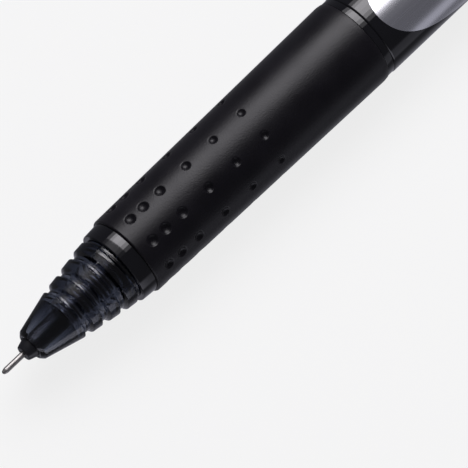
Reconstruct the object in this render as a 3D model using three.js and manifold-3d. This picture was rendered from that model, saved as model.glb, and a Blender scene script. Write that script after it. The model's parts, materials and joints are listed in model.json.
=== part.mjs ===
// A retractable gel pen with a needle point, lying on a table.
//
// Millimetres. The pen runs along X with its needle towards -X, and z = 0 is the table top.
// Lengths along the pen are stations, measured from the needle's tip when the point is out.
// Angles round the pen start at the top (+Z) and grow towards -Y, a right-hand turn about +X.

import * as THREE from 'three';
import { mergeVertices } from 'three/addons/utils/BufferGeometryUtils.js';
import Module from 'manifold-3d';

const wasm = await Module();
wasm.setup();

// ---------- driving dimensions ----------

const PEN_LENGTH = 141;
const STROKE = 6;
const ROTOR_TURN = THREE.MathUtils.degToRad(45);

const BARREL_R = 6.28;
const BAND_R = 6.2;
const GRIP_FRONT_R = 5.86;
const GRIP_REAR_R = 6.37;
const COLLAR_R = GRIP_REAR_R;
const NEEDLE_R = 0.4;
const BALL_R = 0.25;
const SLEEVE_CORE_R = 4.85;
const SLEEVE_BORE_R = 3.5;
const CAP_PLUG_R = 4.45;
const TUBE_R = 3.05;
const TUBE_BORE_R = 2.35;
const BUTTON_R = 3.55;

const THREAD_PITCH = 1.2;
const THREAD_HEIGHT = 0.12;
const FIT = 0.1;
const FACE_GAP = 0.05;

const HOLDER_FRONT = 3.66;
const NOSE_FRONT = 4.93;
const SLEEVE_FRONT = 19.75;
const GRIP_FRONT = 22;
const GRIP_CHAMFER = 62.7;
const GRIP_REAR = 63.35;
const SEAM = 64.4;
const REFILL_REAR = 111;
const GUIDE_FRONT = 108;
const GUIDE_REAR = 124.9;
const COLLAR_FRONT = 125.9;
const COLLAR_REAR = 128.9;
const CAP_REAR = 133.5;
const BUTTON_FRONT = 126.4;

const DIMPLE_ROWS = 9;
const DIMPLE_ROW_START = THREE.MathUtils.degToRad(-15);
const DIMPLE_EDGE_SLOPE = THREE.MathUtils.degToRad(56);
const DIMPLE_SIDES = 8;
const DIMPLE_RINGS = [
  { station: 24.4, diameter: 1.5 },
  { station: 26.7, diameter: 1.5 },
  { station: 29.7, diameter: 1.45 },
  { station: 34.4, diameter: 1.3 },
  { station: 39.3, diameter: 1.2 },
  { station: 44.4, diameter: 1.15 },
];

const RIB_COUNT = 4;
const RIB_WIDTH = THREE.MathUtils.degToRad(20);
const RIB_FRONT = 116;
const RIB_INNER_R = 3.25;
const GUIDE_BORE_R = 3.95;
const GUIDE_R = 4.5;
const FIN_R = 3.8;
const FIN_FRONT = 113.5;
const ROTOR_R = 3.1;
const TOOTH_HEIGHT = 0.7;
const TOOTH_INNER_R = 1.9;
const TOOTH_OUTER_R = 2.7;

const CLIP_WIDTH = 4;
const CLIP_THICKNESS = 0.7;
const CLIP_OUTER_R = 8.6;
const CLIP_FRONT = 92.5;

const ROUND = 40;
const INNER_ROUND = 24;
const FINE_ROUND = 16;

// ---------- derived values ----------

const RESTING_R = GRIP_REAR_R;
const CLIP_CORNER_R = Math.hypot(CLIP_OUTER_R, CLIP_WIDTH / 2);
const CLIP_FROM_BOTTOM = Math.atan2(CLIP_WIDTH / 2, CLIP_OUTER_R) + Math.acos(RESTING_R / CLIP_CORNER_R);
const CLIP_ANGLE = Math.PI - CLIP_FROM_BOTTOM;
const CLIP_REACH = CLIP_CORNER_R * Math.sin(CLIP_FROM_BOTTOM + Math.atan2(CLIP_WIDTH / 2, CLIP_OUTER_R));
const AXIS_Y = (CLIP_REACH - RESTING_R) / 2;
const ADVANCE = STROKE / ROTOR_TURN;

// ---------- solids ----------

function asSolid(geometry) {
  const bare = geometry.clone();
  bare.deleteAttribute('normal');
  bare.deleteAttribute('uv');
  const merged = mergeVertices(bare, 1e-5);
  const corners = Array.from(merged.index.array);
  const kept = [];
  for (let i = 0; i < corners.length; i += 3) {
    const [a, b, c] = corners.slice(i, i + 3);
    if (a !== b && b !== c && c !== a) {
      kept.push(a, b, c);
    }
  }
  return new wasm.Manifold(new wasm.Mesh({
    numProp: 3,
    vertProperties: new Float32Array(merged.attributes.position.array),
    triVerts: new Uint32Array(kept),
  }));
}

function asGeometry(solid) {
  const mesh = solid.getMesh();
  const geometry = new THREE.BufferGeometry();
  const positions = [];
  for (let i = 0; i < mesh.vertProperties.length; i += mesh.numProp) {
    positions.push(...mesh.vertProperties.slice(i, i + 3));
  }
  geometry.setAttribute('position', new THREE.Float32BufferAttribute(positions, 3));
  geometry.setIndex(Array.from(mesh.triVerts));
  geometry.computeVertexNormals();
  return geometry;
}

// A profile of [station, radius] points turned about the pen's axis. Its outside runs from the
// front to the rear, and it closes on the axis or on its own first point.
function turned(profile, segments) {
  const points = profile.map(([station, radius]) => new THREE.Vector2(radius, station));
  const onAxis = points[0].x === 0 && points[points.length - 1].x === 0;
  if (!onAxis) {
    points.push(points[0].clone());
  }
  const geometry = new THREE.LatheGeometry(points, segments);
  geometry.rotateZ(-Math.PI / 2);
  return asSolid(geometry);
}

// A block wrapped round the axis, between two angles and two radii. Its ends follow the
// functions frontAt(angle) and rearAt(angle).
function wrappedBlock({ from, to, innerR, outerR, frontAt, rearAt }) {
  const steps = 4;
  const geometry = new THREE.BoxGeometry(1, 1, 1, 1, 1, steps);
  const place = geometry.attributes.position;
  for (let i = 0; i < place.count; i += 1) {
    const angle = THREE.MathUtils.lerp(from, to, place.getZ(i) + 0.5);
    const station = THREE.MathUtils.lerp(frontAt(angle), rearAt(angle), place.getX(i) + 0.5);
    const radius = THREE.MathUtils.lerp(innerR, outerR, place.getY(i) + 0.5);
    place.setXYZ(i, station, -radius * Math.sin(angle), radius * Math.cos(angle));
  }
  return asSolid(geometry);
}

// A round wire wound about the pen's axis. stationAt and radiusAt take 0 to 1 along the wire.
class WoundWire extends THREE.Curve {
  constructor(turns, radiusAt, stationAt) {
    super();
    this.turns = turns;
    this.radiusAt = radiusAt;
    this.stationAt = stationAt;
  }

  getPoint(t) {
    const angle = 2 * Math.PI * this.turns * t;
    const radius = this.radiusAt(t);
    return new THREE.Vector3(this.stationAt(t), -radius * Math.sin(angle), radius * Math.cos(angle));
  }
}

function wire(curve, wireR, steps, sides) {
  const section = new THREE.Shape();
  for (let i = 0; i < sides; i += 1) {
    const angle = (2 * Math.PI * i) / sides;
    section.lineTo(wireR * Math.cos(angle), wireR * Math.sin(angle));
  }
  return asSolid(new THREE.ExtrudeGeometry(section, { steps, extrudePath: curve }));
}

// ---------- materials ----------

function finish(color, roughness, metalness = 0, opacity = 1) {
  return { color, roughness, metalness, opacity, transparent: opacity < 1 };
}

const FINISHES = {
  glossBlack: finish(0x08080a, 0.12),
  smoke: finish(0x14161c, 0.1, 0, 0.75),
  rubber: finish(0x1b1b1e, 0.75),
  tipBlack: finish(0x0a0a0b, 0.35),
  steel: finish(0xb9bbbd, 0.3, 1),
  chrome: finish(0xd6d8da, 0.12, 1),
  clearTube: finish(0xd8dcdc, 0.3, 0, 0.5),
  ink: finish(0x050507, 0.2),
  grease: finish(0xd9d2b4, 0.2, 0, 0.7),
  acetal: finish(0xe6e4de, 0.45),
};

const pen = new THREE.Group();

function add(name, solid, look) {
  const mesh = new THREE.Mesh(asGeometry(solid), new THREE.MeshStandardMaterial(FINISHES[look]));
  mesh.name = name;
  pen.add(mesh);
}

// ---------- front section ----------

// Translucent cone with ring grooves. Each groove falls behind one land and rises to the next.
const NOSE_LANDS = [
  { start: 5.4, startR: 2.36, end: 10.95, endR: 3.79 },
  { start: 12.3, startR: 4.03, end: 13.6, endR: 4.22 },
  { start: 14.9, startR: 4.47, end: 16.3, endR: 4.67 },
  { start: 17.6, startR: 4.95, end: 18.95, endR: 5.08 },
];
const GROOVE_SLOPE = 0.3;
const GROOVE_DEPTH = 0.38;
const GROOVE_RISE = 0.06;
const SPIGOT_R = 4;
const SPIGOT_REAR = 26.8;
const SPRING_SEAT = 10.3;
const SPRING_COIL_R = 2.3;
const SPRING_WIRE_R = 0.16;

function noseOutside() {
  const outside = [[NOSE_FRONT, 1.9]];
  NOSE_LANDS.forEach((land, i) => {
    outside.push([land.start, land.startR], [land.end, land.endR]);
    const next = NOSE_LANDS[i + 1];
    const floorEnd = next ? next.start - GROOVE_SLOPE : SLEEVE_FRONT - FACE_GAP;
    const floorR = land.endR - GROOVE_DEPTH;
    outside.push([land.end + GROOVE_SLOPE, floorR], [floorEnd, floorR + GROOVE_RISE]);
  });
  return outside;
}

// Crests of a thread, one pitch apart.
function threadCrests(front, count, rootR) {
  const crests = [];
  for (let i = 0; i < count; i += 1) {
    const station = front + i * THREAD_PITCH;
    crests.push([station, rootR]);
    crests.push([station + THREAD_PITCH * 0.35, rootR + THREAD_HEIGHT]);
    crests.push([station + THREAD_PITCH * 0.7, rootR]);
  }
  return crests;
}

function noseCone() {
  const crests = threadCrests(22.2, 3, SPIGOT_R);
  const spigot = [[SLEEVE_FRONT - FACE_GAP, SPIGOT_R], ...crests, [SPIGOT_REAR, SPIGOT_R]];
  const rearBoreR = 3.35;
  const springBoreR = SPRING_COIL_R + SPRING_WIRE_R + FIT;
  const seatBoreR = 2;
  const tipBoreR = 1.65;
  const inside = [
    [SPIGOT_REAR, rearBoreR],
    [16.8, rearBoreR],
    [14.4, 2.95],
    [12.6, springBoreR],
    [SPRING_SEAT, springBoreR],
    [SPRING_SEAT, seatBoreR],
    [NOSE_FRONT, tipBoreR],
  ];
  return turned([...noseOutside(), ...spigot, ...inside], ROUND);
}

// Rigid sleeve under the rubber, with a collar in front, a band behind and a male thread.
function frontSleeve() {
  const threadR = 4.35;
  const threadEnd = 71.5;
  const socketR = SPIGOT_R + 2 * FIT;
  const socketEnd = SPIGOT_REAR + 0.4;
  const outside = [
    [SLEEVE_FRONT, 5.4],
    [GRIP_FRONT - FACE_GAP, 5.55],
    [GRIP_FRONT - FACE_GAP, SLEEVE_CORE_R],
    [GRIP_REAR + FACE_GAP, SLEEVE_CORE_R],
    [GRIP_REAR + FACE_GAP, BAND_R],
    [SEAM, BAND_R],
    [SEAM, threadR],
  ];
  outside.push(...threadCrests(65.6, 4, threadR));
  const inside = [
    [threadEnd, threadR],
    [threadEnd, SLEEVE_BORE_R],
    [socketEnd, SLEEVE_BORE_R],
    [socketEnd, socketR],
    [SLEEVE_FRONT, socketR],
  ];
  return turned([...outside, ...inside], ROUND);
}

function gripRadius(station) {
  const share = (station - GRIP_FRONT) / (GRIP_CHAMFER - GRIP_FRONT);
  return THREE.MathUtils.lerp(GRIP_FRONT_R, GRIP_REAR_R, Math.min(share, 1));
}

// Cutter for one dimple: a cap of a ball below the rubber's surface, and a stub above it.
function dimpleCutter(ring, angle) {
  const rimR = ring.diameter / 2;
  const ballR = rimR / Math.sin(DIMPLE_EDGE_SLOPE);
  const above = 0.4;
  const points = [];
  for (const share of [0, 0.5, 1]) {
    const slope = DIMPLE_EDGE_SLOPE * share;
    const height = ballR * (Math.cos(DIMPLE_EDGE_SLOPE) - Math.cos(slope));
    points.push(new THREE.Vector2(ballR * Math.sin(slope), height));
  }
  points.push(new THREE.Vector2(rimR, above), new THREE.Vector2(0, above));
  const geometry = new THREE.LatheGeometry(points, DIMPLE_SIDES);
  geometry.rotateX(Math.PI / 2);
  geometry.translate(ring.station, 0, gripRadius(ring.station));
  geometry.rotateX(angle);
  return asSolid(geometry);
}

// Rubber sleeve with rows of dimples.
function grip() {
  const boreR = SLEEVE_CORE_R + FIT;
  let solid = turned([
    [GRIP_FRONT, boreR],
    [GRIP_FRONT, GRIP_FRONT_R - 0.1],
    [GRIP_FRONT + 0.15, GRIP_FRONT_R],
    [GRIP_CHAMFER, GRIP_REAR_R],
    [GRIP_REAR, BARREL_R],
    [GRIP_REAR, boreR],
  ], ROUND);
  for (let row = 0; row < DIMPLE_ROWS; row += 1) {
    for (const ring of DIMPLE_RINGS) {
      solid = solid.subtract(dimpleCutter(ring, DIMPLE_ROW_START + (2 * Math.PI * row) / DIMPLE_ROWS));
    }
  }
  return solid;
}

// ---------- refill ----------

function writingBall() {
  const geometry = new THREE.SphereGeometry(BALL_R, FINE_ROUND, 10);
  geometry.translate(BALL_R, 0, 0);
  return asSolid(geometry);
}

// Steel tube whose mouth is rolled in round the ball.
function needleTube() {
  const boreR = 0.18;
  const socketR = BALL_R + 0.015;
  return turned([
    [0.13, 0.26],
    [0.55, NEEDLE_R],
    [9, NEEDLE_R],
    [9, boreR],
    [0.55, boreR],
    [0.45, socketR],
    [0.2, socketR],
  ], FINE_ROUND);
}

// Fine wire behind the ball, wound where the holder's channel is wide.
function ballSpring() {
  const rodEnd = 0.58;
  const radiusAt = (t) => THREE.MathUtils.clamp((t - rodEnd) * 8, 0, 1) * 0.55;
  const stationAt = (t) => THREE.MathUtils.lerp(0.62, 20, t);
  return wire(new WoundWire(12, radiusAt, stationAt), 0.08, 96, 4);
}

const HOLDER_SHOULDER = 19.4;
const HOLDER_FLANGE_REAR = 24;
const HOLDER_REAR = 29;
const HOLDER_STEM_R = 1.9;
const HOLDER_BORE_R = 0.8;
const NEEDLE_SEAT_R = NEEDLE_R + 0.06;

// Black holder: the cone round the needle, a stem through the spring, a flange and a plug.
function tipHolder() {
  return turned([
    [HOLDER_FRONT, NEEDLE_SEAT_R],
    [HOLDER_FRONT, 1.08],
    [4.9, 1.48],
    [SPRING_SEAT + 1.4, 1.48],
    [SPRING_SEAT + 1.8, HOLDER_STEM_R],
    [HOLDER_SHOULDER, HOLDER_STEM_R],
    [HOLDER_SHOULDER, 3],
    [HOLDER_FLANGE_REAR, 3],
    [HOLDER_FLANGE_REAR, TUBE_BORE_R - 0.03],
    [HOLDER_REAR, TUBE_BORE_R - 0.15],
    [HOLDER_REAR, HOLDER_BORE_R],
    [11.6, HOLDER_BORE_R],
    [11, NEEDLE_SEAT_R],
  ], INNER_ROUND);
}

function inkTube() {
  return turned([
    [HOLDER_FLANGE_REAR + FACE_GAP, TUBE_BORE_R],
    [HOLDER_FLANGE_REAR + FACE_GAP, TUBE_R],
    [REFILL_REAR - 1.5, TUBE_R],
    [REFILL_REAR - 1.5, TUBE_BORE_R],
  ], INNER_ROUND);
}

const INK_REAR = 88;
const FOLLOWER_REAR = 92;

function plug(front, rear, radius) {
  return turned([[front, 0], [front, radius], [rear, radius], [rear, 0]], INNER_ROUND);
}

// Stopper in the tube's rear end, with a vent through it.
function refillPlug() {
  const ventR = 0.5;
  return turned([
    [106.5, ventR],
    [106.5, TUBE_BORE_R - 0.1],
    [REFILL_REAR - 1.45, TUBE_BORE_R - 0.04],
    [REFILL_REAR - 1.45, TUBE_R],
    [REFILL_REAR - 0.3, TUBE_R],
    [REFILL_REAR, TUBE_R - 0.3],
    [REFILL_REAR, ventR],
  ], INNER_ROUND);
}

// Coil spring between the nose's shoulder and the holder's flange, with a closed coil at each end.
function returnSpring() {
  const turns = 15;
  const front = SPRING_SEAT + FACE_GAP + SPRING_WIRE_R;
  const rear = HOLDER_SHOULDER - FACE_GAP - SPRING_WIRE_R;
  const closed = 1 / turns;
  const stationAt = (t) => {
    const open = THREE.MathUtils.clamp((t - closed) / (1 - 2 * closed), 0, 1);
    const tight = THREE.MathUtils.clamp(t, 0, closed) + THREE.MathUtils.clamp(t - 1 + closed, 0, closed);
    const pitch = 2.1 * SPRING_WIRE_R * turns;
    return front + pitch * tight + (rear - front - 2 * closed * pitch) * open;
  };
  return wire(new WoundWire(turns, () => SPRING_COIL_R, stationAt), SPRING_WIRE_R, turns * 10, 5);
}

// ---------- rear section ----------

// Tube from the seam to the clip collar. Its front bore takes the sleeve's thread.
function barrel() {
  const threadBoreR = 4.6;
  const threadBoreEnd = 73;
  const boreR = 4.2;
  return turned([
    [SEAM + FACE_GAP, threadBoreR],
    [SEAM + FACE_GAP, BARREL_R - 0.12],
    [SEAM + 0.2, BARREL_R],
    [COLLAR_FRONT - 0.15, BARREL_R],
    [COLLAR_FRONT - FACE_GAP, BARREL_R - 0.1],
    [COLLAR_FRONT - FACE_GAP, GUIDE_R + FIT],
    [GUIDE_FRONT - FIT, GUIDE_R + FIT],
    [GUIDE_FRONT - FIT, boreR],
    [threadBoreEnd, boreR],
    [threadBoreEnd, threadBoreR],
  ], ROUND);
}

// Angle of the leading side of each rib and of the fin that rests on it.
function ribStart(i) {
  return (2 * Math.PI * i) / RIB_COUNT;
}

// The slanted front of a rib. Its slope is the rotor's own advance for each turn.
function rampAt(start) {
  return (angle) => RIB_FRONT + ADVANCE * (angle - start);
}

// Sleeve with ribs inside. The rotor's fins hang on the ribs' slanted tips with the point out,
// and lie between the ribs with the point in.
function camGuide() {
  let solid = turned([
    [GUIDE_FRONT, GUIDE_BORE_R],
    [GUIDE_FRONT, GUIDE_R],
    [GUIDE_REAR, GUIDE_R],
    [GUIDE_REAR, GUIDE_BORE_R],
  ], ROUND);
  for (let i = 0; i < RIB_COUNT; i += 1) {
    const start = ribStart(i);
    solid = solid.add(wrappedBlock({
      from: start,
      to: start + RIB_WIDTH,
      innerR: RIB_INNER_R,
      outerR: GUIDE_BORE_R + 0.25,
      frontAt: rampAt(start),
      rearAt: () => GUIDE_REAR,
    }));
  }
  return solid;
}

const TOOTH_COUNT = 8;

// A ring of saw teeth between two stations. Each tooth rises over one pitch.
function sawTeeth(base, tip) {
  const pitch = (2 * Math.PI) / TOOTH_COUNT;
  const teeth = [];
  for (let i = 0; i < TOOTH_COUNT; i += 1) {
    const start = i * pitch;
    const rise = (angle) => THREE.MathUtils.lerp(base, tip, (angle - start) / pitch);
    const root = base - Math.sign(tip - base) * 0.4;
    const forwards = tip < base;
    teeth.push(wrappedBlock({
      from: start,
      to: start + pitch * 0.98,
      innerR: TOOTH_INNER_R,
      outerR: TOOTH_OUTER_R,
      frontAt: forwards ? rise : () => root,
      rearAt: forwards ? () => root : rise,
    }));
  }
  return teeth;
}

const ROTOR_FRONT = REFILL_REAR + FACE_GAP;
const ROTOR_REAR = 117.2;
const FIN_CLEARANCE = 0.15;

// Rotor that locks the point out: fins with slanted rear ends, and saw teeth on its rear face.
function camRotor() {
  let solid = turned([
    [ROTOR_FRONT, 1.4],
    [ROTOR_FRONT, ROTOR_R - 0.2],
    [ROTOR_FRONT + 0.3, ROTOR_R],
    [ROTOR_REAR, ROTOR_R],
    [ROTOR_REAR, 1.4],
  ], INNER_ROUND);
  for (const tooth of sawTeeth(ROTOR_REAR, ROTOR_REAR + TOOTH_HEIGHT)) {
    solid = solid.add(tooth);
  }
  for (let i = 0; i < RIB_COUNT; i += 1) {
    const start = ribStart(i);
    const ramp = rampAt(start);
    solid = solid.add(wrappedBlock({
      from: start,
      to: start + RIB_WIDTH,
      innerR: ROTOR_R - 0.25,
      outerR: FIN_R,
      frontAt: () => FIN_FRONT,
      rearAt: (angle) => ramp(angle) - FIN_CLEARANCE,
    }));
  }
  return solid;
}

const CROWN_FRONT = ROTOR_REAR + TOOTH_HEIGHT + 0.2;
const CROWN_BASE = CROWN_FRONT + TOOTH_HEIGHT;
const SLIDER_FIN_FRONT = 119.2;
const SLIDER_FIN_LENGTH = 2.5;
const SLIDER_FIN_HALF = THREE.MathUtils.degToRad(8);
const STEM_R = 2.7;
const STEM_REAR = 136.4;

// Sleeve that the button pushes: a crown of teeth in front, fins that keep it from turning and
// hold it in the pen, and a stem in the button.
function thrustSleeve() {
  const boreR = 1.8;
  let solid = turned([
    [CROWN_BASE, boreR],
    [CROWN_BASE, ROTOR_R],
    [BUTTON_FRONT - FACE_GAP, ROTOR_R],
    [BUTTON_FRONT - FACE_GAP, STEM_R],
    [STEM_REAR - 0.4, STEM_R],
    [STEM_REAR, STEM_R - 0.3],
    [STEM_REAR, boreR],
  ], INNER_ROUND);
  for (const tooth of sawTeeth(CROWN_BASE, CROWN_FRONT)) {
    solid = solid.add(tooth);
  }
  for (let i = 0; i < RIB_COUNT; i += 1) {
    const middle = ribStart(i) + RIB_WIDTH / 2 + Math.PI / RIB_COUNT;
    solid = solid.add(wrappedBlock({
      from: middle - SLIDER_FIN_HALF,
      to: middle + SLIDER_FIN_HALF,
      innerR: ROTOR_R - 0.25,
      outerR: FIN_R,
      frontAt: () => SLIDER_FIN_FRONT,
      rearAt: () => SLIDER_FIN_FRONT + SLIDER_FIN_LENGTH,
    }));
  }
  return solid;
}

// Domed cup that the thumb presses, with a flat at the middle of its end.
function pushButton() {
  const dome = 1.6;
  const flatR = 1.6;
  const socketEnd = 137.5;
  const socketR = STEM_R + FIT;
  const outside = [[BUTTON_FRONT, socketR], [BUTTON_FRONT, BUTTON_R]];
  for (let i = 0; i <= 5; i += 1) {
    const angle = (Math.PI / 2) * (i / 5);
    outside.push([
      PEN_LENGTH - dome + dome * Math.sin(angle),
      flatR + (BUTTON_R - flatR) * Math.cos(angle),
    ]);
  }
  return turned([[socketEnd, 0], [socketEnd, socketR], ...outside, [PEN_LENGTH, 0]], INNER_ROUND);
}

// Rear cap, plugged into the barrel through the collar. Its shoulder stops the thrust sleeve.
function tailCap() {
  const shoulder = 128;
  const boreR = BUTTON_R + 0.2;
  return turned([
    [GUIDE_REAR + FACE_GAP, GUIDE_BORE_R],
    [GUIDE_REAR + FACE_GAP, CAP_PLUG_R],
    [COLLAR_REAR + FACE_GAP, CAP_PLUG_R],
    [COLLAR_REAR + FACE_GAP, BARREL_R - 0.1],
    [COLLAR_REAR + 0.25, BARREL_R],
    [COLLAR_REAR + 1.6, BARREL_R],
    [CAP_REAR - 0.7, 5.05],
    [CAP_REAR - 0.15, 4.7],
    [CAP_REAR, 4.4],
    [CAP_REAR, boreR],
    [shoulder, boreR],
    [shoulder, GUIDE_BORE_R],
  ], ROUND);
}

// Steel band round the plug, between the barrel and the cap.
function clipCollar() {
  return turned([
    [COLLAR_FRONT, CAP_PLUG_R + FIT],
    [COLLAR_FRONT, COLLAR_R - 0.1],
    [COLLAR_FRONT + 0.1, COLLAR_R],
    [COLLAR_REAR - 0.1, COLLAR_R],
    [COLLAR_REAR, COLLAR_R - 0.1],
    [COLLAR_REAR, CAP_PLUG_R + FIT],
  ], ROUND);
}

// Both sides of a strip whose middle line is the given path.
function stripOutline(path, thickness) {
  const middle = path.getPoints(5);
  const sides = [[], []];
  middle.forEach((point, i) => {
    const before = middle[Math.max(i - 1, 0)];
    const after = middle[Math.min(i + 1, middle.length - 1)];
    const along = after.clone().sub(before).normalize();
    const across = new THREE.Vector2(-along.y, along.x).multiplyScalar(thickness / 2);
    sides[0].push(point.clone().add(across));
    sides[1].push(point.clone().sub(across));
  });
  return new THREE.Shape([...sides[0], ...sides[1].reverse()]);
}

const CLIP_ROOT = (COLLAR_FRONT + COLLAR_REAR) / 2;
const CLIP_MIDDLE_R = CLIP_OUTER_R - CLIP_THICKNESS / 2;

function clipSide() {
  const path = new THREE.Path();
  path.moveTo(CLIP_ROOT, COLLAR_R + 0.15);
  path.lineTo(CLIP_ROOT, CLIP_MIDDLE_R - 1.2);
  path.quadraticCurveTo(CLIP_ROOT, CLIP_MIDDLE_R, CLIP_ROOT - 1.2, CLIP_MIDDLE_R);
  path.lineTo(CLIP_FRONT + 8, CLIP_MIDDLE_R);
  path.quadraticCurveTo(CLIP_FRONT + 6.2, CLIP_MIDDLE_R, CLIP_FRONT + 5, CLIP_MIDDLE_R - 0.8);
  path.quadraticCurveTo(CLIP_FRONT + 3.2, BARREL_R - 0.05, CLIP_FRONT + 1.6, BARREL_R + 0.75);
  path.lineTo(CLIP_FRONT + 0.5, BARREL_R + 1.5);
  const outline = stripOutline(path, CLIP_THICKNESS);
  const geometry = new THREE.ExtrudeGeometry(outline, { depth: CLIP_WIDTH, bevelEnabled: false });
  geometry.translate(0, 0, -CLIP_WIDTH / 2);
  return asSolid(geometry);
}

// The clip's outline seen from outside: it narrows towards a round front end.
function clipPlan() {
  const half = CLIP_WIDTH / 2;
  const endR = 1.6;
  const plan = new THREE.Shape();
  plan.moveTo(COLLAR_REAR + 1, -half);
  plan.lineTo(COLLAR_REAR + 1, half);
  plan.lineTo(CLIP_FRONT + 12, half);
  plan.lineTo(CLIP_FRONT + endR, endR);
  plan.absarc(CLIP_FRONT + endR, 0, endR, Math.PI / 2, (3 * Math.PI) / 2, false);
  plan.lineTo(CLIP_FRONT + 12, -half);
  const geometry = new THREE.ExtrudeGeometry(plan, { depth: 6, bevelEnabled: false, curveSegments: 8 });
  geometry.rotateX(-Math.PI / 2);
  geometry.translate(0, 5, 0);
  return asSolid(geometry);
}

// Sprung steel blade that stands up from the collar and runs forward to a bead on the barrel.
function clip() {
  const geometry = asGeometry(clipSide().intersect(clipPlan()));
  geometry.rotateX(Math.PI / 2 + CLIP_ANGLE);
  return asSolid(geometry);
}

// ---------- the pen ----------

add('nose_cone', noseCone(), 'smoke');
add('front_sleeve', frontSleeve(), 'glossBlack');
add('grip', grip(), 'rubber');
add('barrel', barrel(), 'glossBlack');
add('tail_cap', tailCap(), 'glossBlack');
add('clip_collar', clipCollar(), 'chrome');
add('clip', clip(), 'chrome');
add('cam_guide', camGuide(), 'acetal');
add('return_spring', returnSpring(), 'steel');

add('writing_ball', writingBall(), 'steel');
add('needle_tube', needleTube(), 'steel');
add('ball_spring', ballSpring(), 'steel');
add('tip_holder', tipHolder(), 'tipBlack');
add('ink_tube', inkTube(), 'clearTube');
add('ink_column', plug(HOLDER_REAR + 0.1, INK_REAR, TUBE_BORE_R - 0.05), 'ink');
add('ink_follower', plug(INK_REAR + 0.02, FOLLOWER_REAR, TUBE_BORE_R - 0.05), 'grease');
add('refill_plug', refillPlug(), 'acetal');

add('cam_rotor', camRotor(), 'acetal');
add('thrust_sleeve', thrustSleeve(), 'acetal');
add('push_button', pushButton(), 'glossBlack');

pen.position.set(-PEN_LENGTH / 2, AXIS_Y, RESTING_R);

export default pen;
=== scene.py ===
"""A retractable gel pen lying on a pale table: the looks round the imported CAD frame.

Metres. Stations and radii are given in millimetres: a station is a length along the pen from the
needle's tip, and an angle round the pen starts at the top and grows towards -Y.
"""
import json
import math

import bpy
from mathutils import Matrix, Vector


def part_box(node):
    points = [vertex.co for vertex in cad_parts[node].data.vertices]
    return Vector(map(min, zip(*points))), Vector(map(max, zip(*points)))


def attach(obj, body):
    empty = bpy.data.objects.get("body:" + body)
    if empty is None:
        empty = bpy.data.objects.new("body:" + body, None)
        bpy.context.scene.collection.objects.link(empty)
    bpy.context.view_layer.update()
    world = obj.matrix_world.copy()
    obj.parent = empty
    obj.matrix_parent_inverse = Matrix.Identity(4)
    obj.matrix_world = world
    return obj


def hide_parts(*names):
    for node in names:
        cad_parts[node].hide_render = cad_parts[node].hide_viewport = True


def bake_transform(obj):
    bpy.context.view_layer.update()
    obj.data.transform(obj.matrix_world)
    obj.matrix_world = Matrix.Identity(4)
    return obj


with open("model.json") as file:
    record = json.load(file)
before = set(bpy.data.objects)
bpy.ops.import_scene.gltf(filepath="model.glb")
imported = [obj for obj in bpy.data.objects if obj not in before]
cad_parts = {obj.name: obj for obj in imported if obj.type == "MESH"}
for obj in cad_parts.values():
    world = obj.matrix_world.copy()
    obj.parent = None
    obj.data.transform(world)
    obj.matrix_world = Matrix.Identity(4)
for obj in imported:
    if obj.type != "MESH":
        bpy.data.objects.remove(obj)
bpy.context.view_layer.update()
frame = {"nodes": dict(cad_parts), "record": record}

MM = 0.001

# ---------- places taken from the frame ----------

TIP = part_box("writing_ball")[0].x
AXIS_Y = (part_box("barrel")[0].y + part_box("barrel")[1].y) / 2
AXIS_Z = (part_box("barrel")[0].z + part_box("barrel")[1].z) / 2


def station_of(x):
    """The station, in mm, of a place along the row frame's X."""
    return (x - TIP) / MM


def ends(node):
    """Front and rear station of a CAD node."""
    low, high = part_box(node)
    return station_of(low.x), station_of(high.x)


def outer(node):
    """Largest radius of a turned CAD node, in mm."""
    low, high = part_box(node)
    return (high.z - low.z) / 2 / MM


def place(station, radius, angle):
    """A point of the row frame, in metres."""
    return Vector((
        TIP + station * MM,
        AXIS_Y - radius * MM * math.sin(angle),
        AXIS_Z + radius * MM * math.cos(angle),
    ))


# ---------- meshes ----------

def new_mesh(name, points, faces, sharp=40):
    mesh = bpy.data.meshes.new(name)
    mesh.from_pydata(points, [], faces)
    mesh.validate()
    mesh.shade_smooth()
    mesh.set_sharp_from_angle(angle=math.radians(sharp))
    piece = bpy.data.objects.new(name, mesh)
    bpy.context.scene.collection.objects.link(piece)
    return piece


def rounded(profile, closed, steps=4):
    """The profile's [station, radius, fillet] corners, each rounded by an arc of that size."""
    count = len(profile)
    out = []
    for i, (station, radius, fillet) in enumerate(profile):
        here = Vector((station, radius))
        inner_corner = closed or 0 < i < count - 1
        if fillet == 0 or not inner_corner:
            out.append(here)
            continue
        before = Vector(profile[i - 1][:2]) - here
        after = Vector(profile[(i + 1) % count][:2]) - here
        reach = min(fillet, before.length * 0.49, after.length * 0.49)
        start = here + before.normalized() * reach
        end = here + after.normalized() * reach
        for k in range(steps + 1):
            t = k / steps
            out.append(start * (1 - t) ** 2 + here * 2 * t * (1 - t) + end * t ** 2)
    return out


def turned(name, profile, segments=128, steps=4, sharp=40):
    """A profile of [station, radius, fillet] corners turned about the pen's axis.
    It runs along the outside from front to rear, and closes on the axis or on itself."""
    on_axis = profile[0][1] == 0 and profile[-1][1] == 0
    outline = rounded(profile, not on_axis, steps)
    points = []
    rings = []
    for station, radius in outline:
        if radius == 0:
            rings.append([len(points)] * segments)
            points.append(place(station, 0, 0))
            continue
        first = len(points)
        for i in range(segments):
            points.append(place(station, radius, 2 * math.pi * i / segments))
        rings.append(list(range(first, first + segments)))
    faces = []
    last = len(rings) - 1 if on_axis else len(rings)
    for a in range(last):
        b = (a + 1) % len(rings)
        for i in range(segments):
            j = (i + 1) % segments
            corners = [rings[a][i], rings[a][j], rings[b][j], rings[b][i]]
            faces.append(list(dict.fromkeys(corners)))
    faces = [f for f in faces if len(f) > 2]
    return new_mesh(name, points, faces, sharp)


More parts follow.
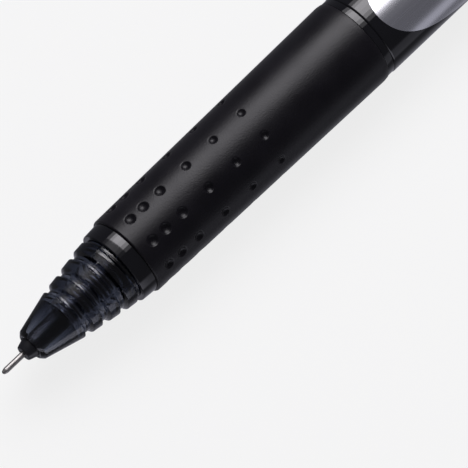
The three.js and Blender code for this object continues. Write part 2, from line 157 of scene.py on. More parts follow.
def wound(name, turns, wire_r, radius_at, station_at, steps_per_turn=32, sides=10):
    """A round wire wound about the axis. radius_at and station_at take 0 to 1 along the wire."""
    count = int(turns * steps_per_turn)

    def middle(t):
        return place(station_at(t), radius_at(t), 2 * math.pi * turns * t)

    points = []
    for k in range(count + 1):
        t = k / count
        along = (middle(min(t + 1e-4, 1)) - middle(max(t - 1e-4, 0))).normalized()
        outward = place(0, 1, 2 * math.pi * turns * t) - place(0, 0, 0)
        side = along.cross(outward).normalized()
        up = side.cross(along).normalized()
        for s in range(sides):
            turn = 2 * math.pi * s / sides
            offset = side * math.cos(turn) + up * math.sin(turn)
            points.append(middle(t) + offset * wire_r * MM)
    faces = [list(range(sides)), [count * sides + s for s in range(sides)][::-1]]
    for k in range(count):
        for s in range(sides):
            n = (s + 1) % sides
            a, b = k * sides, (k + 1) * sides
            faces.append([a + s, b + s, b + n, a + n])
    return new_mesh(name, points, faces, 60)


def stand_in(piece, body, slot, material, *nodes):
    """The piece rides on its body, takes its material, and stands for those CAD nodes."""
    piece.data.materials.clear()
    piece.data.materials.append(material)
    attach(piece, body)
    if nodes:
        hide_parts(*nodes)
    return piece


# ---------- materials ----------

def shader(name, **settings):
    """A material with a Principled shader. Each setting is one of the shader's own sockets."""
    material = bpy.data.materials.new(name)
    material.use_nodes = True
    nodes = material.node_tree.nodes
    principled = nodes["Principled BSDF"]
    for socket, value in settings.items():
        principled.inputs[socket.replace("_", " ")].default_value = value
    return material, material.node_tree, principled


def grain(tree, scale, detail=2.0, stretch=(1, 1, 1)):
    """A noise in the object's own coordinates, stretched along the pen by the first number."""
    coordinates = tree.nodes.new("ShaderNodeTexCoord")
    mapping = tree.nodes.new("ShaderNodeMapping")
    mapping.inputs["Scale"].default_value = stretch
    noise = tree.nodes.new("ShaderNodeTexNoise")
    noise.inputs["Scale"].default_value = scale
    noise.inputs["Detail"].default_value = detail
    tree.links.new(coordinates.outputs["Object"], mapping.inputs["Vector"])
    tree.links.new(mapping.outputs["Vector"], noise.inputs["Vector"])
    return noise.outputs["Fac"]


def spread(tree, value, low, high):
    """The value's 0.3 to 0.7 spread over low to high."""
    ramp = tree.nodes.new("ShaderNodeMapRange")
    ramp.inputs["From Min"].default_value = 0.3
    ramp.inputs["From Max"].default_value = 0.7
    ramp.inputs["To Min"].default_value = low
    ramp.inputs["To Max"].default_value = high
    tree.links.new(value, ramp.inputs["Value"])
    return ramp.outputs["Result"]


def bump(tree, principled, height, depth, strength=1.0):
    """Raises the surface by the height times depth, in metres."""
    node = tree.nodes.new("ShaderNodeBump")
    node.inputs["Strength"].default_value = strength
    node.inputs["Distance"].default_value = depth
    tree.links.new(height, node.inputs["Height"])
    tree.links.new(node.outputs["Normal"], principled.inputs["Normal"])


def tinted(tree, principled, value, dark, light):
    """Base colour between two colours, by the value."""
    ramp = tree.nodes.new("ShaderNodeValToRGB")
    ramp.color_ramp.elements[0].position = 0.3
    ramp.color_ramp.elements[1].position = 0.7
    ramp.color_ramp.elements[0].color = (*dark, 1)
    ramp.color_ramp.elements[1].color = (*light, 1)
    tree.links.new(value, ramp.inputs["Fac"])
    tree.links.new(ramp.outputs["Color"], principled.inputs["Base Color"])


def gloss_black(name):
    material, tree, principled = shader(name, IOR=1.5)
    smudge = grain(tree, 140, 4)
    tinted(tree, principled, smudge, (0.0025, 0.0025, 0.0035), (0.0045, 0.0045, 0.006))
    tree.links.new(spread(tree, smudge, 0.04, 0.09), principled.inputs["Roughness"])
    bump(tree, principled, grain(tree, 900, 2, (0.2, 1, 1)), 0.000002)
    return material


def rubber(name):
    material, tree, principled = shader(name, IOR=1.34, Sheen_Weight=0.1, Sheen_Roughness=0.3)
    dust = grain(tree, 220, 5)
    tinted(tree, principled, dust, (0.0024, 0.0020, 0.0034), (0.0046, 0.0040, 0.0060))
    tree.links.new(spread(tree, dust, 0.33, 0.39), principled.inputs["Roughness"])
    bump(tree, principled, grain(tree, 5200, 3), 0.00002)
    return material


def smoke(name):
    """Clear plastic that darkens what is behind it by its depth, bluish where it is thin."""
    material, tree, principled = shader(name, IOR=1.49, Transmission_Weight=1.0)
    cloud = grain(tree, 260, 3)
    tinted(tree, principled, cloud, (0.93, 0.94, 0.96), (0.98, 0.98, 1.0))
    tree.links.new(spread(tree, cloud, 0.02, 0.05), principled.inputs["Roughness"])
    bump(tree, principled, grain(tree, 1500, 2), 0.000004)
    depth = tree.nodes.new("ShaderNodeVolumeAbsorption")
    depth.inputs["Color"].default_value = (0.0, 0.04, 0.15, 1)
    depth.inputs["Density"].default_value = 1200
    tree.links.new(depth.outputs["Volume"], tree.nodes["Material Output"].inputs["Volume"])
    return material


def metal(name, dark, light, roughness, stretch, scale=1800, depth=0.000003, uneven=0.25):
    """Bare metal whose fine lines change its colour and, by the share uneven, its roughness."""
    material, tree, principled = shader(name, Metallic=1.0)
    lines = grain(tree, scale, 3, stretch)
    tinted(tree, principled, lines, dark, light)
    smoother, rougher = roughness * (1 - uneven), roughness * (1 + uneven)
    tree.links.new(spread(tree, lines, smoother, rougher), principled.inputs["Roughness"])
    bump(tree, principled, lines, depth)
    return material


def plain_plastic(name, dark, light, roughness, **settings):
    material, tree, principled = shader(name, **settings)
    mottle = grain(tree, 400, 4)
    tinted(tree, principled, mottle, dark, light)
    tree.links.new(spread(tree, mottle, roughness * 0.8, roughness * 1.2), principled.inputs["Roughness"])
    bump(tree, principled, grain(tree, 2500, 2), 0.000004)
    return material


GLOSS = gloss_black("gloss black plastic")
RUBBER = rubber("grip rubber")
SMOKE = smoke("smoky plastic")
STEEL = metal("needle steel", (0.34, 0.325, 0.31), (0.43, 0.415, 0.40), 0.45, (6, 1, 1))
WIRE = metal("spring wire", (0.62, 0.63, 0.66), (0.82, 0.83, 0.87), 0.18, (1, 1, 1))
CHROME = metal("plated steel", (0.62, 0.63, 0.65), (0.72, 0.73, 0.75), 0.12, (0.15, 1, 1), 900)
FOIL = metal("silver foil", (0.74, 0.74, 0.77), (0.77, 0.77, 0.80), 0.27, (0.05, 1, 1), 2600, 2e-7, 0.04)
HOLDER = plain_plastic("holder plastic", (0.006, 0.006, 0.008), (0.010, 0.010, 0.013), 0.38)
ACETAL = plain_plastic("acetal", (0.70, 0.69, 0.65), (0.80, 0.79, 0.76), 0.4)
CLEAR = plain_plastic(
    "tube plastic", (0.80, 0.83, 0.84), (0.88, 0.90, 0.91), 0.22, Transmission_Weight=0.85, IOR=1.49,
)
INK = plain_plastic("gel ink", (0.002, 0.002, 0.004), (0.005, 0.005, 0.008), 0.12)
GREASE = plain_plastic(
    "follower grease", (0.72, 0.66, 0.42), (0.85, 0.80, 0.58), 0.15, Transmission_Weight=0.7, IOR=1.46,
)

# ---------- front section ----------

NOSE_FRONT, NOSE_REAR = ends("nose_cone")
SLEEVE_FRONT, SLEEVE_REAR = ends("front_sleeve")
GRIP_FRONT, GRIP_REAR = ends("grip")
BARREL_FRONT, BARREL_REAR = ends("barrel")
BARREL_R = outer("barrel")
GRIP_R = outer("grip")

# Each land of the nose: its front station and radius, its rear station and radius.
LANDS = [
    (5.4, 2.36, 10.95, 3.79), (12.3, 4.03, 13.6, 4.22), (14.9, 4.47, 16.3, 4.67), (17.6, 4.95, 18.95, 5.08),
]
GROOVE_SLOPE = 0.3
GROOVE_DEPTH = 0.38
GROOVE_RISE = 0.06
FACE_GAP = 0.05
NOSE_FRONT_R = 1.9
SPIGOT_R = 4.0
SPIGOT_THREAD_FRONT = 22.2
SOCKET_R = 4.2
SOCKET_END = 27.2
SPRING_SEAT = 10.3
SPRING_BORE_R = 2.56
CORE_R = 4.85
SLEEVE_BORE_R = 3.5
SLEEVE_THREAD_R = 4.35
SLEEVE_THREAD_FRONT = 65.6
BAND_R = 6.2
BAND_REAR = 64.4
COLLAR_FRONT_R = 5.4
COLLAR_REAR_R = 5.55


def thread(front, count, root, pitch=1.2, height=0.12):
    """Rounded crests of a thread, one pitch apart, drawn as rings."""
    crests = []
    for i in range(count):
        station = front + i * pitch
        crests += [(station, root, 0.08), (station + pitch * 0.35, root + height, 0.08)]
        crests += [(station + pitch * 0.7, root, 0.08)]
    return crests


def make_nose():
    seat = SLEEVE_FRONT - FACE_GAP
    outside = [(NOSE_FRONT, NOSE_FRONT_R, 0.08)]
    for i, (start, start_r, end, end_r) in enumerate(LANDS):
        floor_r = end_r - GROOVE_DEPTH
        last = i == len(LANDS) - 1
        floor_end = seat if last else LANDS[i + 1][0] - GROOVE_SLOPE
        outside += [(start, start_r, 0.05), (end, end_r, 0.05)]
        outside += [(end + GROOVE_SLOPE, floor_r, 0.06), (floor_end, floor_r + GROOVE_RISE, 0.06)]
    crests = thread(SPIGOT_THREAD_FRONT, 3, SPIGOT_R)
    spigot = [(seat, SPIGOT_R, 0.03)] + crests + [(NOSE_REAR, SPIGOT_R, 0.15)]
    rear_bore_r = 3.35
    inside = [
        (NOSE_REAR, rear_bore_r, 0.1), (16.8, rear_bore_r, 0.2), (14.4, 2.95, 0.2),
        (12.6, SPRING_BORE_R, 0.2), (SPRING_SEAT, SPRING_BORE_R, 0.1), (SPRING_SEAT, 2.0, 0.1),
        (NOSE_FRONT, 1.65, 0.05),
    ]
    piece = turned("nose_shell", outside + spigot + inside, 160)
    stand_in(piece, "barrel", "nose_smoke", SMOKE, "nose_cone")


def make_sleeve():
    collar_rear = GRIP_FRONT - FACE_GAP
    band_front = GRIP_REAR + FACE_GAP
    outside = [
        (SLEEVE_FRONT, COLLAR_FRONT_R, 0.12), (collar_rear, COLLAR_REAR_R, 0.05), (collar_rear, CORE_R, 0),
        (band_front, CORE_R, 0), (band_front, BAND_R, 0.04), (BAND_REAR, BAND_R, 0.05),
        (BAND_REAR, SLEEVE_THREAD_R, 0.03),
    ]
    inside = [
        (SLEEVE_REAR, SLEEVE_THREAD_R, 0.2), (SLEEVE_REAR, SLEEVE_BORE_R, 0.1),
        (SOCKET_END, SLEEVE_BORE_R, 0.1), (SOCKET_END, SOCKET_R, 0.1), (SLEEVE_FRONT, SOCKET_R, 0.05),
    ]
    crests = thread(SLEEVE_THREAD_FRONT, 4, SLEEVE_THREAD_R)
    piece = turned("sleeve_shell", outside + crests + inside, 128)
    stand_in(piece, "barrel", "sleeve_black", GLOSS, "front_sleeve")


DIMPLE_ROWS = 9
DIMPLE_ROW_START = math.radians(-15)
DIMPLE_EDGE_SLOPE = math.radians(56)
# Station and diameter of each ring of dimples.
DIMPLE_RINGS = [(24.4, 1.5), (26.7, 1.5), (29.7, 1.45), (34.4, 1.3), (39.3, 1.2), (44.4, 1.15)]
DIMPLE_RIM = 0.03
GRIP_FRONT_R = 5.86
GRIP_BORE_R = 4.95
GRIP_CHAMFER = 62.7


def dimple_depth(station, angle, radius):
    """How far a dimple lowers the rubber at this place, in mm: a ball's cap with a soft rim."""
    pitch = 2 * math.pi / DIMPLE_ROWS
    across = ((angle - DIMPLE_ROW_START + pitch / 2) % pitch - pitch / 2) * radius
    total = 0.0
    for ring, diameter in DIMPLE_RINGS:
        away = math.hypot(station - ring, across)
        rim = diameter / 2
        if away > rim + 6 * DIMPLE_RIM:
            continue
        ball = rim / math.sin(DIMPLE_EDGE_SLOPE)
        if away < rim:
            cap = math.sqrt(ball * ball - away * away) - ball * math.cos(DIMPLE_EDGE_SLOPE)
        else:
            cap = (rim - away) * math.tan(DIMPLE_EDGE_SLOPE)
        total += DIMPLE_RIM * math.log(1 + math.exp(cap / DIMPLE_RIM))
    return total


def grip_stations():
    """Stations of the grip's outside, close together at the dimples."""
    fine_step = 0.08
    coarse_step = 0.8
    reach = 0.95
    stations = []
    here = GRIP_FRONT + 0.2
    while here < GRIP_CHAMFER - 0.25:
        stations.append(here)
        near = min(abs(here + 0.05 - ring) for ring, diameter in DIMPLE_RINGS)
        here += fine_step if near < reach else min(coarse_step, max(fine_step, near - 0.9))
    return stations


def grip_angles():
    """Angles round the grip, close together at the rows of dimples."""
    pitch = 360 / DIMPLE_ROWS
    half = 9.5
    fine = 25
    coarse = 7
    angles = []
    for row in range(DIMPLE_ROWS):
        middle = math.degrees(DIMPLE_ROW_START) + row * pitch
        angles += [middle - half + 2 * half * i / fine for i in range(fine)]
        angles += [middle + half + (pitch - 2 * half) * i / coarse for i in range(coarse)]
    return [math.radians(a) for a in angles]


def make_grip():
    def skin(station):
        share = (station - GRIP_FRONT) / (GRIP_CHAMFER - GRIP_FRONT)
        return GRIP_FRONT_R + (GRIP_R - GRIP_FRONT_R) * share

    edge = 0.4
    front = rounded([
        (GRIP_FRONT, GRIP_BORE_R, 0), (GRIP_FRONT, GRIP_FRONT_R - 0.02, 0.2),
        (GRIP_FRONT + edge, skin(GRIP_FRONT + edge), 0),
    ], False)[:-1]
    rear = rounded([
        (GRIP_CHAMFER - edge, skin(GRIP_CHAMFER - edge), 0), (GRIP_CHAMFER, GRIP_R, 0.25),
        (GRIP_REAR, BARREL_R, 0.05), (GRIP_REAR, GRIP_BORE_R, 0),
    ], False)[1:]
    middle = [Vector((s, skin(s))) for s in grip_stations()]
    outline = front + middle + rear
    angles = grip_angles()
    points = []
    for station, radius in outline:
        for angle in angles:
            outside = radius > GRIP_FRONT_R - 0.1 and station < GRIP_CHAMFER
            depth = dimple_depth(station, angle, radius) if outside else 0
            points.append(place(station, radius - depth, angle))
    faces = []
    around = len(angles)
    for a in range(len(outline)):
        b = (a + 1) % len(outline)
        for i in range(around):
            j = (i + 1) % around
            faces.append([a * around + i, a * around + j, b * around + j, b * around + i])
    piece = new_mesh("grip_rubber", points, faces, 50)
    stand_in(piece, "barrel", "grip_rubber", RUBBER, "grip")


# ---------- refill ----------

NEEDLE_R = 0.4
NEEDLE_REAR = 9
HOLDER_FRONT = 3.66
HOLDER_TIP_R = 1.48
HOLDER_STEM_R = 1.9
HOLDER_SHOULDER = 19.4
HOLDER_FLANGE_REAR = 24
HOLDER_FLANGE_R = 3
HOLDER_REAR = 29
HOLDER_BORE_R = 0.8


def make_refill():
    ball_r = 0.25
    arc = [
        (ball_r - ball_r * math.cos(math.pi * i / 24), ball_r * math.sin(math.pi * i / 24), 0)
        for i in range(1, 24)
    ]
    ball = turned("ball", [(0, 0, 0)] + arc + [(2 * ball_r, 0, 0)], 48)
    stand_in(ball, "writing_ball", "ball_steel", STEEL, "writing_ball")

    bore_r = 0.18
    socket_r = 0.265
    needle = turned("needle", [
        (0.13, 0.262, 0.01), (0.55, NEEDLE_R, 0.12), (NEEDLE_REAR, NEEDLE_R, 0.02),
        (NEEDLE_REAR, bore_r, 0), (0.55, bore_r, 0), (0.45, socket_r, 0), (0.2, socket_r, 0.02),
    ], 64)
    stand_in(needle, "refill", "needle_steel", STEEL, "needle_tube")

    seat_r = NEEDLE_R + 0.06
    holder = turned("holder", [
        (HOLDER_FRONT, seat_r, 0.03), (HOLDER_FRONT, 1.08, 0.15), (4.9, HOLDER_TIP_R, 0.15),
        (SPRING_SEAT + 1.4, HOLDER_TIP_R, 0.1), (SPRING_SEAT + 1.8, HOLDER_STEM_R, 0.1),
        (HOLDER_SHOULDER, HOLDER_STEM_R, 0.1), (HOLDER_SHOULDER, HOLDER_FLANGE_R, 0.12),
        (HOLDER_FLANGE_REAR, HOLDER_FLANGE_R, 0.1), (HOLDER_FLANGE_REAR, 2.32, 0.03),
        (HOLDER_REAR, 2.2, 0.2), (HOLDER_REAR, HOLDER_BORE_R, 0.05), (11.6, HOLDER_BORE_R, 0.1),
        (11, seat_r, 0.05),
    ], 96)
    stand_in(holder, "refill", "holder_black", HOLDER, "tip_holder")

    thin_front = 0.62
    thin_rear = 20

    def rod_radius(t):
        """A straight rod to the ball, then a coil."""
        return min(max((t - 0.58) * 8, 0), 1) * 0.55

    def thin_station(t):
        return thin_front + (thin_rear - thin_front) * t

    thin = wound("pressing_spring", 12, 0.08, rod_radius, thin_station, 24, 6)
    stand_in(thin, "refill", "spring_steel", WIRE, "ball_spring")


def make_ink():
    front, rear = ends("ink_tube")
    tube_r = outer("ink_tube")
    bore_r = 2.35
    tube = turned("refill_tube", [
        (front, bore_r, 0.05), (front, tube_r, 0.1), (rear, tube_r, 0.1), (rear, bore_r, 0.05),
    ], 96)
    stand_in(tube, "refill", "tube_clear", CLEAR, "ink_tube")
    ink_r = outer("ink_column")
    front, rear = ends("ink_column")
    ink = turned("ink", [
        (front, 0, 0), (front, ink_r, 0.3), (rear, ink_r, 0.1), (rear - 0.8, ink_r * 0.5, 0.5),
        (rear - 1, 0, 0),
    ], 64)
    stand_in(ink, "refill", "ink_black", INK, "ink_column")
    front, rear = ends("ink_follower")
    grease = turned("grease", [
        (front - 0.9, 0, 0), (front - 0.7, ink_r * 0.5, 0.5), (front + 0.1, ink_r, 0.1), (rear, ink_r, 0.1),
        (rear - 0.8, ink_r * 0.5, 0.5), (rear - 1, 0, 0),
    ], 64)
    stand_in(grease, "refill", "grease_clear", GREASE, "ink_follower")
    front, rear = ends("refill_plug")
    shoulder = 109.55
    vent_r = 0.5
    stopper = turned("stopper", [
        (front, vent_r, 0.05), (front, bore_r - 0.1, 0.2), (shoulder, bore_r - 0.04, 0.03),
        (shoulder, tube_r, 0.05), (rear - 0.3, tube_r, 0.15), (rear, tube_r - 0.3, 0.1),
        (rear, vent_r, 0.05),
    ], 64)
    stand_in(stopper, "refill", "plug_white", ACETAL, "refill_plug")


def make_return_spring():
    front, rear = ends("return_spring")
    wire_r = 0.16
    coil_r = 2.3
    turns = 15
    closed = 1 / turns
    first = front + wire_r
    last = rear - wire_r
    tight_pitch = 2.1 * wire_r * turns

    def along(t):
        open_part = min(max((t - closed) / (1 - 2 * closed), 0), 1)
        tight_part = min(t, closed) + max(t - 1 + closed, 0)
        return first + tight_pitch * tight_part + (last - first - 2 * closed * tight_pitch) * open_part

    coil = wound("coil_spring", turns, wire_r, lambda t: coil_r, along, 48, 12)
    coil.data.materials.append(WIRE)
    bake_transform(coil)
    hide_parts("return_spring")


# ---------- rear section ----------

COLLAR_FRONT, COLLAR_REAR = ends("clip_collar")
CLIP_FRONT = ends("clip")[0]
CLIP_OUTWARD = next(m["axis"] for m in frame["record"]["mounts"] if m["name"] == "clip_face")
CLIP_ANGLE = math.atan2(-CLIP_OUTWARD[1], CLIP_OUTWARD[2])
CLIP_WIDTH = 4
CLIP_THICKNESS = 0.7
CLIP_OUTER_R = 8.6
CAP_FRONT, CAP_REAR = ends("tail_cap")
CAP_PLUG_R = 4.45
GUIDE_FRONT = ends("cam_guide")[0]


def make_barrel():
    socket_r = 4.6
    bore_r = 4.2
    bore_front = 73
    bore_rear = GUIDE_FRONT - 0.1
    piece = turned("barrel_shell", [
        (BARREL_FRONT, socket_r, 0.1), (BARREL_FRONT, BARREL_R - 0.12, 0.05),
        (BARREL_FRONT + 0.15, BARREL_R, 0.1), (BARREL_REAR - 0.1, BARREL_R, 0.08),
        (BARREL_REAR, BARREL_R - 0.1, 0.04), (BARREL_REAR, socket_r, 0.05), (bore_rear, socket_r, 0.05),
        (bore_rear, bore_r, 0.05), (bore_front, bore_r, 0.05), (bore_front, socket_r, 0.05),
    ], 192)
    stand_in(piece, "barrel", "barrel_black", GLOSS, "barrel")


FOIL_FRONT = 66
FOIL_REAR = 121
FOIL_MIDDLE = math.radians(16.3)
FOIL_HALF_ANGLE = math.radians(84)
FOIL_NOSE = 18.5
FOIL_THICKNESS = 0.012
FOIL_CLEARANCE = 0.004


def make_foil():
    """Foil panel printed on the barrel: an oval with long parallel sides."""
    across = 120
    lengthwise = 60
    inner_r = BARREL_R + FOIL_CLEARANCE
    points = []
    for radius in (inner_r, inner_r + FOIL_THICKNESS):
        for i in range(across + 1):
            share = math.sin(math.pi / 2 * (2 * i / across - 1))
            inset = FOIL_NOSE * (1 - math.sqrt(max(1 - share * share, 0)))
            for k in range(lengthwise + 1):
                station = FOIL_FRONT + inset + (FOIL_REAR - FOIL_FRONT - 2 * inset) * k / lengthwise
                points.append(place(station, radius, FOIL_MIDDLE + FOIL_HALF_ANGLE * share))
    row = lengthwise + 1
    sheet = (across + 1) * row
    faces = []
    for i in range(across):
        for k in range(lengthwise):
            a, b = i * row + k, (i + 1) * row + k
            faces.append([a, a + 1, b + 1, b])
            faces.append([sheet + a, sheet + b, sheet + b + 1, sheet + a + 1])
    for i in range(across):
        for k in (0, lengthwise):
            a, b = i * row + k, (i + 1) * row + k
            rim = [a, b, sheet + b, sheet + a]
            faces.append(rim[::-1] if k else rim)
    for k in range(lengthwise):
        for i in (0, across):
            a = i * row + k
            rim = [a, a + 1, sheet + a + 1, sheet + a]
            faces.append(rim if i else rim[::-1])
    piece = new_mesh("foil_panel", points, faces, 40)
    stand_in(piece, "barrel", "silver_foil", FOIL)


def make_tail():
    bore_r = 3.75
    guide_bore_r = 3.95
    shoulder = 128
    skirt = COLLAR_REAR + FACE_GAP
    cap = turned("cap_shell", [
        (CAP_FRONT, guide_bore_r, 0.05), (CAP_FRONT, CAP_PLUG_R, 0.1), (skirt, CAP_PLUG_R, 0),
        (skirt, BARREL_R - 0.05, 0.1), (COLLAR_REAR + 1.8, BARREL_R, 1.2), (CAP_REAR - 0.5, 5.0, 0.6),
        (CAP_REAR, CAP_PLUG_R, 0.3), (CAP_REAR, bore_r, 0.12), (shoulder, bore_r, 0.1),
        (shoulder, guide_bore_r, 0.03),
    ], 160, 6)
    stand_in(cap, "barrel", "cap_black", GLOSS, "tail_cap")
    collar_r = outer("clip_collar")
    eye_r = CAP_PLUG_R + 0.1
    collar = turned("collar_band", [
        (COLLAR_FRONT, eye_r, 0.03), (COLLAR_FRONT, collar_r, 0.15), (COLLAR_REAR, collar_r, 0.15),
        (COLLAR_REAR, eye_r, 0.03),
    ], 160)
    stand_in(collar, "barrel", "collar_steel", CHROME, "clip_collar")


def quadratic(start, bend, end, steps=12):
    """Points of a quadratic curve, without its first."""
    out = []
    for k in range(1, steps + 1):
        t = k / steps
        out.append(start * (1 - t) ** 2 + bend * 2 * t * (1 - t) + end * t ** 2)
    return out


def clip_path():
    """The clip's middle line, as [station, radius], from the collar to its front end."""
    root = (COLLAR_FRONT + COLLAR_REAR) / 2
    blade_r = CLIP_OUTER_R - CLIP_THICKNESS / 2
    corner = Vector((root, blade_r))
    rise = Vector((root, blade_r - 1.2))
    path = [Vector((root, outer("clip_collar") + 0.15)), rise]
    path += quadratic(rise, corner, corner - Vector((1.2, 0)))
    bend = Vector((CLIP_FRONT + 8, blade_r))
    start = path[-1]
    path += [start + (bend - start) * k / 24 for k in range(1, 25)]
    fall = Vector((CLIP_FRONT + 5, blade_r - 0.8))
    path += quadratic(bend, Vector((CLIP_FRONT + 6.2, blade_r)), fall)
    lift = Vector((CLIP_FRONT + 1.6, BARREL_R + 0.75))
    path += quadratic(fall, Vector((CLIP_FRONT + 3.2, BARREL_R - 0.05)), lift, 20)
    tip = Vector((CLIP_FRONT + 0.5, BARREL_R + 1.5))
    path += [lift + (tip - lift) * k / 10 for k in range(1, 11)]
    return path


def clip_half_width(station):
    """Half the blade's width: it narrows forwards and ends round."""
    end_r = 1.6
    full = CLIP_WIDTH / 2
    taper_rear = CLIP_FRONT + 12
    centre = CLIP_FRONT + end_r
    if station > taper_rear:
        return full
    if station > centre:
        return end_r + (full - end_r) * (station - centre) / (taper_rear - centre)
    return math.sqrt(max(end_r ** 2 - (centre - station) ** 2, 0.04))


def blade_section(half, thick, edge):
    """A rectangle with round corners, as [side, height] points."""
    section = []
    for side, height, first in ((1, 1, 0), (-1, 1, 90), (-1, -1, 180), (1, -1, 270)):
        for k in range(5):
            turn = math.radians(first + 90 * k / 4)
            across = side * (half - edge) + edge * math.cos(turn)
            section.append((across, height * (thick - edge) + edge * math.sin(turn)))
    return section


def make_clip():
    """Sprung blade: a section with round corners swept along the clip's middle line."""
    path = clip_path()
    round_the_pen = place(0, 1, CLIP_ANGLE + math.pi / 2) - place(0, 0, 0)
    points = []
    rings = []
    for i, here in enumerate(path):
        along = (path[min(i + 1, len(path) - 1)] - path[max(i - 1, 0)]).normalized()
        out = Vector((along.y, -along.x))
        half = clip_half_width(here.x) if i > 2 else CLIP_WIDTH / 2
        ring = []
        for side, height in blade_section(half, CLIP_THICKNESS / 2, min(0.22, half * 0.9)):
            spot = here + out * height
            ring.append(len(points))
            points.append(place(spot.x, spot.y, CLIP_ANGLE) + round_the_pen * side)
        rings.append(ring)
    around = len(rings[0])
    faces = [rings[0][::-1], rings[-1]]
    for a, b in zip(rings, rings[1:]):
        for i in range(around):
            j = (i + 1) % around
            faces.append([a[i], a[j], b[j], b[i]])
    piece = new_mesh("clip_blade", points, faces, 45)
    stand_in(piece, "clip", "clip_steel", CHROME, "clip")


def make_button():
    front, rear = ends("push_button")
    button_r = outer("push_button")
    floor = 137.5
    bore_r = 2.8
    piece = turned("thumb_button", [
        (floor, 0, 0), (floor, bore_r, 0.2), (front, bore_r, 0.05), (front, button_r, 0.15),
        (rear - 0.9, button_r, 1.0), (rear, button_r - 1.9, 1.6), (rear, 0, 0),
    ], 128, 10)
    stand_in(piece, "button", "button_black", GLOSS, "push_button")


def dress_cad_nodes():
    """CAD nodes that keep their own shape, with a better material."""
    for node in ("cam_guide", "cam_rotor", "thrust_sleeve"):
        mesh = frame["nodes"][node].data
        mesh.materials.clear()
        mesh.materials.append(ACETAL)


make_nose()
make_sleeve()
make_grip()
make_refill()
make_ink()
make_return_spring()
make_barrel()
make_foil()
make_tail()
make_clip()
make_button()
dress_cad_nodes()

# ---------- stage ----------


def make_floor():
    """A light table: it glows a little, and the gloss on the pen sees the studio instead of it."""
    half = 3.0
    corners = [(-half, -half, 0), (half, -half, 0), (half, half, 0), (-half, half, 0)]
    floor = new_mesh("table", corners, [[0, 1, 2, 3]])
    material, tree, principled = shader("table paint", Roughness=0.9)
    tinted(tree, principled, grain(tree, 3, 2), (0.098, 0.098, 0.098), (0.102, 0.102, 0.102))
    principled.inputs["Specular IOR Level"].default_value = 0
    principled.inputs["Emission Color"].default_value = (1, 1, 1, 1)
    principled.inputs["Emission Strength"].default_value = 0.82
    floor.data.materials.append(material)
    floor.visible_glossy = False


def frame_of(x_axis, y_axis, z_axis, origin):
    """The matrix of a thing with those axes at that place."""
    matrix = Matrix((x_axis, y_axis, z_axis)).transposed().to_4x4()
    matrix.translation = Vector(origin)
    return matrix


VIEW = Vector((-0.276, -0.268, 0.9231)).normalized()
VIEW_ANGLE = math.degrees(math.atan2(-VIEW.y, VIEW.z))

# The softbox is bent round the pen. Each strip lights the places between two angles from the
# side that faces the camera, in degrees; each span is a stretch of X in metres with its share.
SOFTBOX_DISTANCE = 0.75
SOFTBOX_STRIPS = [
    (-37, -32, 1.4), (-32, -28, 5.0), (-28, -20, 7.0), (-20, -14, 6.2), (-14, -9, 4.0), (-9, -4, 0.9),
]
SOFTBOX_SPANS = [(-0.13, 0.05, 0.14), (0.05, 0.85, 1.0)]


def strip(name, start, end, front, rear, radiance):
    """A flat light at the softbox's distance, where the pen's sides mirror it to the camera."""
    turn = math.radians(VIEW_ANGLE + start + end)
    back = Vector((0, -math.sin(turn), math.cos(turn)))
    width = 2 * SOFTBOX_DISTANCE * math.tan(math.radians(end - start))
    light = bpy.data.lights.new(name, "AREA")
    light.color = (0.975, 0.955, 1.0)
    light.shape = "RECTANGLE"
    light.size = rear - front
    light.size_y = width
    # A rectangle of unit radiance gives off pi watts for each square metre
    light.energy = radiance * math.pi * width * (rear - front)
    lamp = bpy.data.objects.new(name, light)
    bpy.context.scene.collection.objects.link(lamp)
    centre = Vector(((front + rear) / 2, AXIS_Y, AXIS_Z)) + back * SOFTBOX_DISTANCE
    along = Vector((1, 0, 0))
    lamp.matrix_world = frame_of(along, back.cross(along), back, centre)


def smooth_step(tree, value, start, end, low=0.0, high=1.0):
    """Low at the value start, high at the value end, and smooth between."""
    ramp = tree.nodes.new("ShaderNodeMapRange")
    ramp.interpolation_type = "SMOOTHSTEP"
    ramp.inputs["From Min"].default_value = start
    ramp.inputs["From Max"].default_value = end
    ramp.inputs["To Min"].default_value = low
    ramp.inputs["To Max"].default_value = high
    tree.links.new(value, ramp.inputs["Value"])
    return ramp.outputs["Result"]


def window(tree, value, low, high, soft):
    """1 between low and high, and 0 beyond soft outside them."""
    up = smooth_step(tree, value, low - soft, low)
    down = smooth_step(tree, value, high + soft, high)
    product = tree.nodes.new("ShaderNodeMath")
    product.operation = "MULTIPLY"
    tree.links.new(up, product.inputs[0])
    tree.links.new(down, product.inputs[1])
    return product.outputs[0]


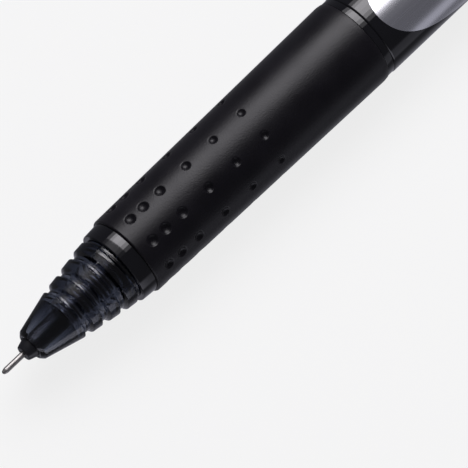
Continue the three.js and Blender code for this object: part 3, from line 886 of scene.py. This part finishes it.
def make_world():
    """A dim studio with a low fill strip along the pen's near side, and a pale backdrop."""
    world = bpy.data.worlds.new("studio")
    world.use_nodes = True
    tree = world.node_tree
    background = tree.nodes["Background"]
    direction = tree.nodes.new("ShaderNodeTexCoord")
    split = tree.nodes.new("ShaderNodeSeparateXYZ")
    tree.links.new(direction.outputs["Generated"], split.inputs[0])
    flip = tree.nodes.new("ShaderNodeMath")
    flip.operation = "MULTIPLY"
    flip.inputs[1].default_value = -1
    tree.links.new(split.outputs["Y"], flip.inputs[0])
    turn = tree.nodes.new("ShaderNodeMath")
    turn.operation = "ARCTAN2"
    tree.links.new(flip.outputs[0], turn.inputs[0])
    tree.links.new(split.outputs["Z"], turn.inputs[1])
    # The fill strip lies between two angles round the pen, with soft edges, and it is
    # brighter towards the needle's end
    low, high, soft = (math.radians(a) for a in (104, 122, 9))
    fill = window(tree, turn.outputs[0], low, high, soft)
    gain = smooth_step(tree, split.outputs["X"], 0.25, -0.08, 0.30, 1.2)
    # The studio itself is dim, and a little brighter below
    below = smooth_step(tree, split.outputs["Z"], -0.7, -0.95, 0.12, 0.34)
    lit = tree.nodes.new("ShaderNodeMath")
    lit.operation = "MULTIPLY_ADD"
    tree.links.new(below, lit.inputs[2])
    tree.links.new(fill, lit.inputs[0])
    tree.links.new(gain, lit.inputs[1])
    # The camera itself sees a plain pale backdrop
    seen = tree.nodes.new("ShaderNodeLightPath")
    pick = tree.nodes.new("ShaderNodeMix")
    pick.inputs["B"].default_value = 0.9
    tree.links.new(seen.outputs["Is Camera Ray"], pick.inputs["Factor"])
    tree.links.new(lit.outputs[0], pick.inputs["A"])
    tint = tree.nodes.new("ShaderNodeMix")
    tint.data_type = "RGBA"
    tint.inputs["A"].default_value = (0.94, 0.94, 1.08, 1)
    tint.inputs["B"].default_value = (1, 1, 1, 1)
    tree.links.new(seen.outputs["Is Camera Ray"], tint.inputs["Factor"])
    tree.links.new(tint.outputs["Result"], background.inputs["Color"])
    tree.links.new(pick.outputs["Result"], background.inputs["Strength"])
    bpy.context.scene.world = world


def make_lights():
    for i, (start, end, radiance) in enumerate(SOFTBOX_STRIPS):
        for k, (front, rear, share) in enumerate(SOFTBOX_SPANS):
            strip(f"softbox_{i}_{k}", start, end, front, rear, radiance * share)


def make_camera():
    """The view from far away, with the needle's tip near the left edge."""
    right = VIEW.cross(Vector((0, 0, 1))).normalized() * -1
    up = VIEW.cross(right)
    tip = Vector((TIP, AXIS_Y, AXIS_Z))
    target = tip + right * 28.92 * MM + up * 17.43 * MM
    distance = 0.9
    frame_width = 58.5 * MM
    data = bpy.data.cameras.new("camera")
    data.sensor_width = 36
    data.lens = 36 * distance / frame_width
    data.clip_start = 0.05
    data.clip_end = 50
    camera = bpy.data.objects.new("camera", data)
    bpy.context.scene.collection.objects.link(camera)
    camera.matrix_world = frame_of(right, up, VIEW, target + VIEW * distance)
    bpy.context.scene.camera = camera


make_floor()
make_world()
make_lights()
make_camera()
bpy.context.scene.view_settings.view_transform = "Standard"
